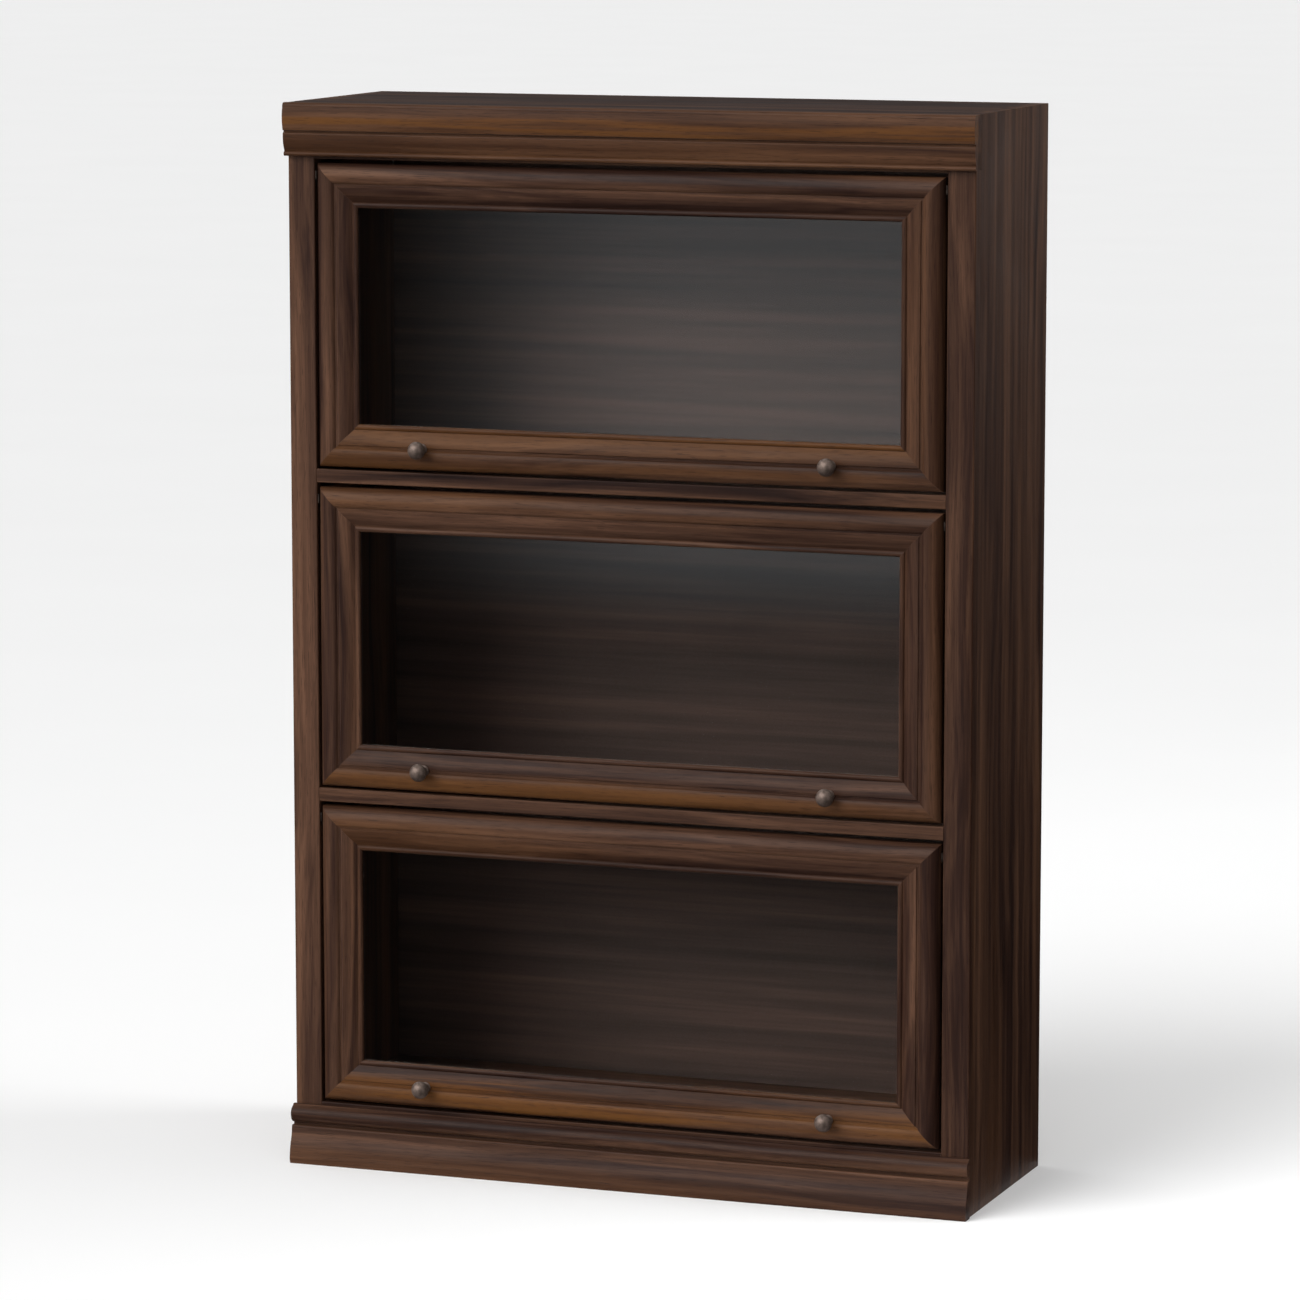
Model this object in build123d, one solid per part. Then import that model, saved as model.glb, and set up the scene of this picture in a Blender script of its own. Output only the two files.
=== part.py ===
"""Barrister bookcase: three stacked compartments, each behind a glazed flip-up door.

Case frame: X runs across the bookcase, Y runs from the front to the back and Z runs up.
X = 0 is the middle, Y = 0 is the front face of the stiles and Z = 0 is the floor.
Every piece is written with Y moved by ORIGIN_Y, so the written origin is the bottom centre.
Each door hangs on two pivot pins near its top edge. The pins turn in a carriage that
slides back on nylon blocks, which run in grooves along both sides of the compartment.
"""
import os

from build123d import *

# Overall sizes, in millimetres
HEIGHT = 1257.0
CASE_WIDTH = 836.0
MOULDING_WIDTH = 840.0
CASE_DEPTH = 280.0
BOARD = 16.0

# Face frame
STILE_WIDTH = 33.0
STILE_DEPTH = 19.0
HEADER_BOTTOM = 1192.0
STILE_EDGE = 1.5
SHELF_EDGE = 1.2

# Compartments
DECK_TOP = 74.0
OPENING_HEIGHT = 362.0
LEVELS = {1: "lower", 2: "middle", 3: "upper"}
BACK_PANEL = 3.0

# Doors
DOOR_SIDE_GAP = 3.0
DOOR_BOTTOM_GAP = 3.0
DOOR_TOP_GAP = 5.0
DOOR_THICKNESS = 20.0
DOOR_PROUD = 8.0
FRAME_WIDTH = 51.0
RABBET_START = 43.0
RABBET_DEPTH = 8.0
GLASS_THICKNESS = 3.0
GLASS_GAP = 0.5
GLASS_CORNER = 0.8
RETAINER_WIDTH = 7.0
RETAINER_SLOPE = 2.0
RETAINER_GAP = 0.3

# Door knobs
KNOB_SPREAD = 250.0
KNOB_RISE = 25.5
KNOB_LENGTH = 26.0
KNOB_RADIUS = 10.5
KNOB_FOOT_RADIUS = 6.5
KNOB_FOOT_GAP = 0.2
KNOB_SEAT = 3.8
KNOB_SCREW_RADIUS = 2.0
KNOB_SCREW_REACH = 12.0
KNOB_SCREW_HEAD_RADIUS = 4.0
KNOB_SCREW_HEAD_DEPTH = 2.6
KNOB_SCREW_SUNK = 0.2
SCREW_SLOT_HALF = 3.0
SCREW_SLOT_WIDTH = 1.0
SCREW_SLOT_DEPTH = 1.2

# Door pivots and carriage
PIVOT_DROP = 14.0
PIVOT_Y = 6.0
PIN_RADIUS = 2.0
PIN_DEPTH = 12.0
RUNNING_GAP = 0.05
BLOCK_RADIUS = 4.0
BLOCK_TAIL = 10.0
BLOCK_REACH = 6.5
GROOVE_DEPTH = 7.0
GROOVE_GAP = 0.2
BRACKET_GAP = 0.8
BRACKET_THICKNESS = 1.5
BRACKET_MARGIN = 5.0
BRACKET_CORNER = 3.0
STRIP_FRONT = 14.0
STRIP_DEPTH = 10.0
STRIP_TOP = 16.0
STRIP_HEIGHT = 12.0
STRIP_EDGE = 1.0
BUMPER_DEPTH = 1.7
BUMPER_RADIUS = 5.0
BUMPER_SPREAD = 325.0
BUMPER_EDGE = 0.5

# Guide rails behind the stiles
RAIL_HALF_HEIGHT = 12.0
RAIL_SCREW_RADIUS = 1.6
RAIL_SCREW_HEAD = 3.0
RAIL_SCREW_LENGTH = 20.0
RAIL_SCREW_SINK = 2.0
RAIL_SCREW_INSET = 25.0

# Knock-down fittings, rear rails and back panel
CAM_RADIUS = 7.5
CAM_DEPTH = 12.0
CAM_INSET = 34.0
CAM_FRONT_INSET = 40.0
CAM_REAR_INSET = 45.0
CAM_SLOT_HALF = 5.0
CAM_SLOT_WIDTH = 1.6
CAM_SLOT_DEPTH = 2.5
BOLT_RADIUS = 3.0
BOLT_HOLE_GAP = 0.1
BOLT_CAM_GAP = 0.4
BOLT_INTO_SIDE = 10.0
BOLT_GRIP = 3.0
BACK_REBATE = 8.0
REAR_RAIL_INSET = 40.0
WALL_RAIL_HEIGHT = 50.0
WALL_RAIL_DEPTH = 12.0
WALL_HOLE_RADIUS = 2.5
WALL_HOLE_SPREAD = 500.0
NAIL_RADIUS = 0.8
NAIL_HEAD_RADIUS = 2.5
NAIL_HEAD_DEPTH = 0.6
NAIL_LENGTH = 14.0
NAIL_COUNT_SIDE = 9
NAIL_COUNT_ROW = 6
NAIL_END_INSET = 60.0
NAIL_FIRST_RISE = 40.0

# Moulding sections
BASE_HEIGHT = 70.0
CORNICE_BOTTOM = 1195.0

# Values worked out from the sizes above
SIDE_OUTER = CASE_WIDTH / 2
SIDE_INNER = SIDE_OUTER - BOARD
OPENING_HALF = SIDE_OUTER - STILE_WIDTH
DOOR_HALF = OPENING_HALF - DOOR_SIDE_GAP
DOOR_WIDTH = 2 * DOOR_HALF
DOOR_HEIGHT = OPENING_HEIGHT - DOOR_BOTTOM_GAP - DOOR_TOP_GAP
DOOR_BACK_Y = DOOR_THICKNESS - DOOR_PROUD
BACK_Y = CASE_DEPTH - BACK_PANEL
PITCH = OPENING_HEIGHT + BOARD
GROOVE_RADIUS = BLOCK_RADIUS + GROOVE_GAP
GROOVE_X = OPENING_HALF + GROOVE_DEPTH
BLOCK_END = OPENING_HALF + BLOCK_REACH
BRACKET_INNER = DOOR_HALF + BRACKET_GAP
BRACKET_OUTER = BRACKET_INNER + BRACKET_THICKNESS
KNOB_FRONT_Y = KNOB_SEAT - DOOR_PROUD - KNOB_LENGTH
ORIGIN_Y = (CASE_DEPTH + KNOB_FRONT_Y) / 2
SIDES = (-1, 1)
OVERCUT = 1.0


def opening_bottom(number):
    """Height of the floor of compartment 1 (lowest) to 3."""
    return DECK_TOP + (number - 1) * PITCH


def pivot_height(number):
    """Height of the pivot pins of door 1 (lowest) to 3."""
    return opening_bottom(number) + OPENING_HEIGHT - DOOR_TOP_GAP - PIVOT_DROP


def block(x0, x1, y0, y1, z0, z1):
    """A plain board between two corners."""
    size = Box(x1 - x0, y1 - y0, z1 - z0)
    return Pos((x0 + x1) / 2, (y0 + y1) / 2, (z0 + z1) / 2) * size


def rod_x(radius, x0, x1, y, z):
    """A round rod along X, from x0 to x1."""
    return Pos((x0 + x1) / 2, y, z) * Rot(0, 90, 0) * Cylinder(radius, abs(x1 - x0))


def rod_y(radius, x, y0, y1, z):
    """A round rod along Y, from y0 to y1."""
    return Pos(x, (y0 + y1) / 2, z) * Rot(90, 0, 0) * Cylinder(radius, abs(y1 - y0))


def rod_z(radius, x, y, z0, z1):
    """A round rod along Z, from z0 to z1."""
    return Pos(x, y, (z0 + z1) / 2) * Cylinder(radius, abs(z1 - z0))


def cone_x(r0, r1, x0, x1, y, z):
    """A cone along X whose radius is r0 at x0 and r1 at x1."""
    profile = Polyline((x0, 0), (x0, r0), (x1, r1), (x1, 0), close=True)
    return Pos(0, y, z) * revolve(make_face(profile), Axis.X)


def moulding(outline):
    """Extrude a (forward, height) outline across the full moulding width."""
    start = Plane(origin=(MOULDING_WIDTH / 2, 0, 0), x_dir=(0, -1, 0), z_dir=(-1, 0, 0))
    return extrude(start * make_face(outline), MOULDING_WIDTH)


def prism_along_x(outline, x0, length):
    """Extrude a (Y, Z) outline along X from x0."""
    start = Plane(origin=(x0, 0, 0), x_dir=(0, 1, 0), z_dir=(1, 0, 0))
    return extrude(start * make_face(outline), length)


def save(name, *solids):
    """Write one node: its solids moved to the origin at the bottom centre."""
    move = Pos(0, -ORIGIN_Y, 0)
    moved = [move * solid for shape in solids for solid in shape.solids()]
    for solid in moved:
        solid.label = name
    result = moved[0] if len(moved) == 1 else Compound(moved)
    export_step(result, f"parts/{name}.step")


# ---------------------------------------------------------------- knock-down fittings

BOARD_LEVELS = {
    "bottom_deck": DECK_TOP - BOARD,
    "lower_shelf": DECK_TOP + OPENING_HEIGHT,
    "upper_shelf": DECK_TOP + PITCH + OPENING_HEIGHT,
    "top_panel": HEIGHT - BOARD,
}
CAM_YS = (STILE_DEPTH + CAM_FRONT_INSET, BACK_Y - CAM_REAR_INSET)


def cam_positions():
    """Side, Y and board-bottom height of every cam lock."""
    return [(side, y, z) for z in BOARD_LEVELS.values() for side in SIDES for y in CAM_YS]


def cam_pocket(side, y, z):
    """The blind hole for a cam lock in the underside of a board."""
    x = side * (SIDE_INNER - CAM_INSET)
    return rod_z(CAM_RADIUS, x, y, z, z + CAM_DEPTH)


def cam_bolt(side, y, z, gap=0.0):
    """The steel bolt from the side panel into the cam lock, or its hole where there is a gap."""
    outer = side * (SIDE_INNER + BOLT_INTO_SIDE)
    inner = side * (SIDE_INNER - CAM_INSET + CAM_RADIUS - BOLT_GRIP)
    return rod_x(BOLT_RADIUS + gap, outer + side * gap, inner, y, z + BOARD / 2)


def cam_lock(side, y, z):
    """The zinc cam disc, with a cross slot in its face and a hole for the bolt's end."""
    x = side * (SIDE_INNER - CAM_INSET)
    disc = rod_z(CAM_RADIUS, x, y, z, z + CAM_DEPTH)
    narrow = CAM_SLOT_WIDTH / 2
    for half_x, half_y in ((CAM_SLOT_HALF, narrow), (narrow, CAM_SLOT_HALF)):
        disc -= block(x - half_x, x + half_x, y - half_y, y + half_y, z - OVERCUT, z + CAM_SLOT_DEPTH)
    hole_end = x + side * (CAM_RADIUS - BOLT_GRIP - BOLT_CAM_GAP)
    hole_start = x + side * (CAM_RADIUS + OVERCUT)
    return disc - rod_x(BOLT_RADIUS + BOLT_CAM_GAP, hole_end, hole_start, y, z + BOARD / 2)


def bored_board(board, level):
    """A board with the pockets for its own four cam locks and bolts."""
    for side, y, z in cam_positions():
        if z == level:
            board -= cam_pocket(side, y, z)
            board -= cam_bolt(side, y, z, BOLT_HOLE_GAP)
    return board


# ---------------------------------------------------------------- case


def rail_screw_ys():
    """The three screw positions along each guide rail."""
    front = STILE_DEPTH + RAIL_SCREW_INSET
    rear = BACK_Y - RAIL_SCREW_INSET
    return (front, (front + rear) / 2, rear)


def rail_screw(side, y, z):
    """A countersunk screw from the guide rail's groove into the side panel."""
    tip = side * (GROOVE_X + RAIL_SCREW_LENGTH)
    head_end = side * (GROOVE_X + RAIL_SCREW_SINK)
    head = cone_x(RAIL_SCREW_HEAD, RAIL_SCREW_RADIUS, side * GROOVE_X, head_end, y, z)
    return head + rod_x(RAIL_SCREW_RADIUS, head_end, tip, y, z)


def rail_screws(side):
    """All guide rail screws on one side."""
    return [rail_screw(side, y, pivot_height(n)) for n in LEVELS for y in rail_screw_ys()]


def side_panel(side):
    """One full-height side board, drilled for bolts, screws and nails."""
    inner, outer = sorted((side * SIDE_INNER, side * SIDE_OUTER))
    panel = block(inner, outer, STILE_DEPTH, CASE_DEPTH, 0, HEIGHT)
    x0, x1 = sorted((side * (SIDE_INNER - OVERCUT), side * (SIDE_INNER + BACK_REBATE)))
    panel -= block(x0, x1, BACK_Y, CASE_DEPTH + OVERCUT, DECK_TOP - BOARD, HEIGHT + OVERCUT)
    for cam_side, y, z in cam_positions():
        if cam_side == side:
            panel -= cam_bolt(side, y, z, BOLT_HOLE_GAP)
    for screw in rail_screws(side):
        panel -= screw
    for nail in side_nails(side):
        panel -= nail
    return panel


def groove(side, number, y_end):
    """The slide groove of one door: rounded in front, open to the back."""
    x0, x1 = sorted((side * (OPENING_HALF - OVERCUT), side * GROOVE_X))
    z = pivot_height(number)
    front = rod_x(GROOVE_RADIUS, x0, x1, PIVOT_Y, z)
    return front + block(x0, x1, PIVOT_Y, y_end, z - GROOVE_RADIUS, z + GROOVE_RADIUS)


def front_stile(side):
    """A face-frame upright with eased front edges and three groove starts."""
    inner, outer = sorted((side * OPENING_HALF, side * SIDE_OUTER))
    stile = block(inner, outer, 0, STILE_DEPTH, 0, CORNICE_BOTTOM)
    front_edges = stile.edges().filter_by(Axis.Z).group_by(Axis.Y)[0]
    stile = fillet(front_edges, STILE_EDGE)
    for number in LEVELS:
        stile -= groove(side, number, STILE_DEPTH + OVERCUT)
    return stile


def guide_rail(side, number):
    """A grooved hardwood runner on the side panel, level with the door pivots."""
    inner, outer = sorted((side * OPENING_HALF, side * SIDE_INNER))
    z = pivot_height(number)
    rail = block(inner, outer, STILE_DEPTH, BACK_Y, z - RAIL_HALF_HEIGHT, z + RAIL_HALF_HEIGHT)
    rail -= groove(side, number, BACK_Y + OVERCUT)
    for y in rail_screw_ys():
        rail -= rail_screw(side, y, z)
    return rail


def shelf(level):
    """A shelf between the side panels, its front edge between the stiles."""
    wide = block(-SIDE_INNER, SIDE_INNER, STILE_DEPTH, BACK_Y, level, level + BOARD)
    front = block(-OPENING_HALF, OPENING_HALF, 0, STILE_DEPTH, level, level + BOARD)
    board = wide + front
    lip = board.edges().filter_by(Axis.X).group_by(Axis.Y)[0]
    board = fillet(lip, SHELF_EDGE)
    for nail in row_nails(level):
        board -= nail
    return bored_board(board, level)


def top_panel():
    """The flat top board, flush with the tops of the side panels."""
    level = BOARD_LEVELS["top_panel"]
    board = block(-SIDE_INNER, SIDE_INNER, STILE_DEPTH, BACK_Y, level, HEIGHT)
    for nail in row_nails(level):
        board -= nail
    return bored_board(board, level)


def header_rail():
    """The rail over the top door, which backs the cornice."""
    low = block(-OPENING_HALF, OPENING_HALF, 0, STILE_DEPTH, HEADER_BOTTOM, CORNICE_BOTTOM)
    high = block(-SIDE_OUTER, SIDE_OUTER, 0, STILE_DEPTH, CORNICE_BOTTOM, HEIGHT)
    return low + high


def cornice_moulding():
    """The top moulding: a bull-nosed band over a quirk, a swelling that falls away, and a thin lip."""
    outline = [
        Line((0, CORNICE_BOTTOM), (6.5, CORNICE_BOTTOM)),
        ThreePointArc((6.5, CORNICE_BOTTOM), (8.6, 1197.5), (7.0, 1200)),
        Line((7.0, 1200), (6.0, 1200.5)),
        ThreePointArc((6.0, 1200.5), (9.7, 1209.5), (10.5, 1219.5)),
        ThreePointArc((10.5, 1219.5), (10.0, 1221.7), (8.2, 1222.5)),
        Line((8.2, 1222.5), (8.2, 1224.5)),
        Line((8.2, 1224.5), (11.0, 1225)),
        ThreePointArc((11.0, 1225), (13.0, 1239), (11.5, 1252)),
        ThreePointArc((11.5, 1252), (10.2, 1255.8), (7.0, HEIGHT)),
        Line((7.0, HEIGHT), (0, HEIGHT)),
        Line((0, HEIGHT), (0, CORNICE_BOTTOM)),
    ]
    return moulding(outline)


def base_moulding():
    """The plinth moulding: a half-round bead, a deep quirk, and a slope that flares to the floor."""
    outline = [
        Line((0, 0), (16, 0)),
        ThreePointArc((16, 0), (17.0, 4), (16.5, 11)),
        ThreePointArc((16.5, 11), (15.2, 20), (12.0, 29)),
        ThreePointArc((12.0, 29), (10.2, 36), (9.5, 43)),
        ThreePointArc((9.5, 43), (8.9, 44.4), (7.0, 45)),
        Line((7.0, 45), (3.0, 45)),
        Line((3.0, 45), (3.0, 48.5)),
        Line((3.0, 48.5), (7.0, 49)),
        ThreePointArc((7.0, 49), (12.5, 59), (6.0, 68)),
        Line((6.0, 68), (4.0, BASE_HEIGHT)),
        Line((4.0, BASE_HEIGHT), (0, BASE_HEIGHT)),
        Line((0, BASE_HEIGHT), (0, 0)),
    ]
    return moulding(outline)


def base_rail(y0, y1):
    """A rail on edge under the bottom deck."""
    half = OPENING_HALF if y1 <= STILE_DEPTH else SIDE_INNER
    return block(-half, half, y0, y1, 0, DECK_TOP - BOARD)


def wall_rail():
    """The rear top rail, with two clearance holes for wall-fixing screws."""
    top = HEIGHT - BOARD
    front = BACK_Y - WALL_RAIL_DEPTH
    rail = block(-SIDE_INNER, SIDE_INNER, front, BACK_Y, top - WALL_RAIL_HEIGHT, top)
    for side in SIDES:
        rail -= wall_hole(side)
    return rail


def wall_hole(side):
    """One wall-fixing hole, through the wall rail and the back panel."""
    z = HEIGHT - BOARD - WALL_RAIL_HEIGHT / 2
    front = BACK_Y - WALL_RAIL_DEPTH - OVERCUT
    return rod_y(WALL_HOLE_RADIUS, side * WALL_HOLE_SPREAD / 2, front, CASE_DEPTH + OVERCUT, z)


def back_nail(x, z):
    """A flat-headed nail through the back panel."""
    under_head = CASE_DEPTH - NAIL_HEAD_DEPTH
    head = rod_y(NAIL_HEAD_RADIUS, x, under_head, CASE_DEPTH, z)
    return head + rod_y(NAIL_RADIUS, x, CASE_DEPTH - NAIL_LENGTH, under_head, z)


def side_nails(side):
    """The nails along one side panel."""
    first = DECK_TOP + NAIL_FIRST_RISE
    step = (HEIGHT - NAIL_END_INSET - first) / (NAIL_COUNT_SIDE - 1)
    x = side * (SIDE_INNER + BACK_REBATE / 2)
    return [back_nail(x, first + step * i) for i in range(NAIL_COUNT_SIDE)]


def row_nails(level):
    """The nails along the rear edge of one board."""
    first = NAIL_END_INSET - SIDE_INNER
    step = -2 * first / (NAIL_COUNT_ROW - 1)
    z = level + BOARD / 2
    return [back_nail(first + step * i, z) for i in range(NAIL_COUNT_ROW)]


def all_nails():
    """Every back panel nail."""
    nails = side_nails(-1) + side_nails(1)
    for level in BOARD_LEVELS.values():
        nails += row_nails(level)
    return nails


def back_panel():
    """The thin back, set in rebates in the side panels."""
    half = SIDE_INNER + BACK_REBATE
    panel = block(-half, half, BACK_Y, CASE_DEPTH, DECK_TOP - BOARD, HEIGHT)
    for nail in all_nails():
        panel -= nail
    for side in SIDES:
        panel -= wall_hole(side)
    return panel


def save_case():
    """Write every piece that stays still."""
    for side, hand in zip(SIDES, ("left", "right")):
        save(f"side_panel_{hand}", side_panel(side))
        save(f"front_stile_{hand}", front_stile(side))
        save(f"guide_rails_{hand}", *[guide_rail(side, n) for n in LEVELS])
    for name in ("bottom_deck", "lower_shelf", "upper_shelf"):
        save(name, shelf(BOARD_LEVELS[name]))
    save("top_panel", top_panel())
    save("header_rail", header_rail())
    save("cornice_moulding", cornice_moulding())
    save("base_moulding", base_moulding())
    save("base_front_rail", base_rail(0, BOARD))
    save("base_rear_rail", base_rail(BACK_Y - REAR_RAIL_INSET, BACK_Y - REAR_RAIL_INSET + BOARD))
    save("wall_rail", wall_rail())
    save("back_panel", back_panel())
    save("back_panel_nails", *all_nails())
    save("guide_rail_screws", *rail_screws(-1), *rail_screws(1))
    save("cam_locks", *[cam_lock(*place) for place in cam_positions()])
    save("cam_bolts", *[cam_bolt(*place) for place in cam_positions()])


# ---------------------------------------------------------------- doors


def mitred(bar, length, width):
    """Cut both ends of a bar at 45 degrees, longest along its outer edge."""
    half = length / 2
    corners = ((-half, 0), (half, 0), (half - width, width), (width - half, width))
    return bar & extrude(make_face(Polyline(*corners, close=True)), DOOR_THICKNESS + 1)


def frame_member(length):
    """A door frame bar with mitred ends, outer edge on Y = 0 and back face on Z = 0."""
    width = FRAME_WIDTH
    outline = [
        Line((0, 0), (0, 8.4)),
        ThreePointArc((0, 8.4), (3.2, 14.8), (10.0, 19.0)),
        ThreePointArc((10.0, 19.0), (16.0, DOOR_THICKNESS), (22.0, 18.4)),
        Line((22.0, 18.4), (23.6, 16.2)),
        Line((23.6, 16.2), (26.0, 16.2)),
        Line((26.0, 16.2), (27.0, 17.4)),
        ThreePointArc((27.0, 17.4), (36.0, 15.6), (43.6, 11.4)),
        Line((43.6, 11.4), (44.6, 11.0)),
        ThreePointArc((44.6, 11.0), (47.6, 13.0), (width, 11.0)),
        Line((width, 11.0), (width, RABBET_DEPTH)),
        Line((width, RABBET_DEPTH), (RABBET_START, RABBET_DEPTH)),
        Line((RABBET_START, RABBET_DEPTH), (RABBET_START, 0)),
        Line((RABBET_START, 0), (0, 0)),
    ]
    return mitred(prism_along_x(outline, -length / 2, length), length, width)


def door_place(number):
    """From the door's own plan (X across, Y up, Z forward) to the case frame."""
    centre_z = opening_bottom(number) + DOOR_BOTTOM_GAP + DOOR_HEIGHT / 2
    return Pos(0, DOOR_BACK_Y, centre_z) * Rot(90, 0, 0)


def frame_bar(number, hand):
    """One of the four frame members, in the case frame."""
    turn = {"rail_bottom": 0, "stile_right": 90, "rail_top": 180, "stile_left": -90}[hand]
    upright = hand.startswith("stile")
    length = DOOR_HEIGHT if upright else DOOR_WIDTH
    reach = DOOR_WIDTH / 2 if upright else DOOR_HEIGHT / 2
    return door_place(number) * Rot(0, 0, turn) * Pos(0, -reach, 0) * frame_member(length)


def knob_z(number):
    """Height of a door's knobs."""
    return opening_bottom(number) + DOOR_BOTTOM_GAP + KNOB_RISE


def knob(side, number):
    """A small turned knob: foot, waist and domed head, tapped for its screw."""
    length = KNOB_LENGTH
    foot = KNOB_FOOT_RADIUS
    head = KNOB_RADIUS
    outline = [
        Line((0, 0), (foot, 0)),
        Line((foot, 0), (foot, 1.8)),
        ThreePointArc((foot, 1.8), (4.8, 6.0), (5.0, 11.0)),
        ThreePointArc((5.0, 11.0), (6.8, 14.4), (head - 0.5, 16.0)),
        ThreePointArc((head - 0.5, 16.0), (head, 17.6), (head - 0.6, 19.4)),
        ThreePointArc((head - 0.6, 19.4), (6.6, 23.7), (1.0, length)),
        Line((1.0, length), (0, length)),
        Line((0, length), (0, 0)),
    ]
    body = revolve(Plane.XZ * make_face(outline), Axis.Z)
    body -= rod_z(KNOB_SCREW_RADIUS, 0, 0, -OVERCUT, KNOB_SCREW_REACH)
    seat_y = KNOB_SEAT - DOOR_PROUD
    return Pos(side * KNOB_SPREAD, seat_y, knob_z(number)) * Rot(90, 0, 0) * body


def knob_screw(side, number):
    """The machine screw that holds a knob, its head sunk in the door's back."""
    x = side * KNOB_SPREAD
    z = knob_z(number)
    under_head = DOOR_BACK_Y - KNOB_SCREW_HEAD_DEPTH
    face = DOOR_BACK_Y - KNOB_SCREW_SUNK
    half = SCREW_SLOT_WIDTH / 2
    head = rod_y(KNOB_SCREW_HEAD_RADIUS, x, under_head, face, z)
    slot = (face - SCREW_SLOT_DEPTH, face + OVERCUT)
    head -= block(x - SCREW_SLOT_HALF, x + SCREW_SLOT_HALF, *slot, z - half, z + half)
    tip = KNOB_SEAT - DOOR_PROUD - KNOB_SCREW_REACH
    return head + rod_y(KNOB_SCREW_RADIUS, x, tip, under_head, z)


def bottom_rail(number):
    """The lower frame member, with seats and holes for the knobs."""
    rail = frame_bar(number, "rail_bottom")
    z = knob_z(number)
    seat_y = KNOB_SEAT - DOOR_PROUD
    under_head = DOOR_BACK_Y - KNOB_SCREW_HEAD_DEPTH
    for side in SIDES:
        x = side * KNOB_SPREAD
        rail -= rod_y(KNOB_FOOT_RADIUS + KNOB_FOOT_GAP, x, seat_y, -DOOR_PROUD - OVERCUT, z)
        rail -= rod_y(KNOB_SCREW_HEAD_RADIUS + KNOB_FOOT_GAP, x, under_head, DOOR_BACK_Y + OVERCUT, z)
        rail -= rod_y(KNOB_SCREW_RADIUS, x, -DOOR_PROUD, DOOR_BACK_Y, z)
    return rail


def pivot_pin(side, number):
    """A steel pin fixed in the door's edge."""
    inner = side * (DOOR_HALF - PIN_DEPTH)
    return rod_x(PIN_RADIUS, inner, side * BLOCK_END, PIVOT_Y, pivot_height(number))


def drilled_stile(number, hand, side):
    """An upright frame member, drilled for its pivot pin."""
    return frame_bar(number, hand) - pivot_pin(side, number)


def glass_pane(number):
    """The flat glass, held in the rabbet."""
    inset = 2 * (RABBET_START + GLASS_GAP)
    pane = Box(DOOR_WIDTH - inset, DOOR_HEIGHT - inset, GLASS_THICKNESS)
    pane = chamfer(pane.edges().filter_by(Axis.Z), GLASS_CORNER)
    return door_place(number) * Pos(0, 0, RABBET_DEPTH - GLASS_THICKNESS / 2) * pane


def retainer_strip(length):
    """One mitred plastic strip, outer edge on Y = 0 and back face on Z = 0."""
    depth = RABBET_DEPTH - GLASS_THICKNESS
    width = RETAINER_WIDTH
    slope = RETAINER_SLOPE
    corners = ((0, 0), (width - slope, 0), (width, slope), (width, depth), (0, depth))
    outline = Polyline(*corners, close=True)
    return mitred(prism_along_x(outline, -length / 2, length), length, width)


def glass_retainer(number):
    """The four soft plastic strips that hold the glass from behind."""
    wide = DOOR_WIDTH - 2 * RABBET_START
    high = DOOR_HEIGHT - 2 * RABBET_START
    strips = []
    for turn, length, reach in ((0, wide, high), (90, high, wide), (180, wide, high), (270, high, wide)):
        strip = retainer_strip(length - RETAINER_GAP)
        strips.append(door_place(number) * Rot(0, 0, turn) * Pos(0, -reach / 2, 0) * strip)
    return strips


def save_door(number):
    """Write the pieces that swing with one door."""
    door = LEVELS[number] + "_door"
    save(f"{door}_top_rail", frame_bar(number, "rail_top"))
    save(f"{door}_bottom_rail", bottom_rail(number))
    save(f"{door}_left_stile", drilled_stile(number, "stile_left", -1))
    save(f"{door}_right_stile", drilled_stile(number, "stile_right", 1))
    save(f"{door}_glass", glass_pane(number))
    save(f"{door}_glass_retainer", *glass_retainer(number))
    save(f"{door}_knobs", *[knob(side, number) for side in SIDES])
    save(f"{door}_knob_screws", *[knob_screw(side, number) for side in SIDES])
    save(f"{door}_pivot_pins", *[pivot_pin(side, number) for side in SIDES])


# ---------------------------------------------------------------- carriages


def slide_block(side, number):
    """A nylon slider for the groove: round in front, with a tail against tipping."""
    x0, x1 = sorted((side * BRACKET_OUTER, side * BLOCK_END))
    z = pivot_height(number)
    rear_y = PIVOT_Y + BLOCK_TAIL
    slider = rod_x(BLOCK_RADIUS, x0, x1, PIVOT_Y, z)
    slider += rod_x(BLOCK_RADIUS, x0, x1, rear_y, z)
    slider += block(x0, x1, PIVOT_Y, rear_y, z - BLOCK_RADIUS, z + BLOCK_RADIUS)
    return slider - rod_x(PIN_RADIUS + RUNNING_GAP, x0 - OVERCUT, x1 + OVERCUT, PIVOT_Y, z)


def bracket(side, number):
    """A thin steel plate that joins a slide block to the follower strip."""
    x0, x1 = sorted((side * BRACKET_INNER, side * BRACKET_OUTER))
    z = pivot_height(number)
    front = PIVOT_Y - BRACKET_MARGIN
    back = STRIP_FRONT + STRIP_DEPTH
    top = z + BRACKET_MARGIN
    bottom = z - STRIP_TOP - STRIP_HEIGHT
    outline = Polyline(
        (front, top),
        (back - BRACKET_CORNER, top),
        (back, top - BRACKET_CORNER),
        (back, bottom),
        (STRIP_FRONT, bottom),
        (front, z - BRACKET_MARGIN),
        close=True,
    )
    plate = prism_along_x(outline, x0, x1 - x0)
    return plate - rod_x(PIN_RADIUS + RUNNING_GAP, x0 - OVERCUT, x1 + OVERCUT, PIVOT_Y, z)


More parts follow.
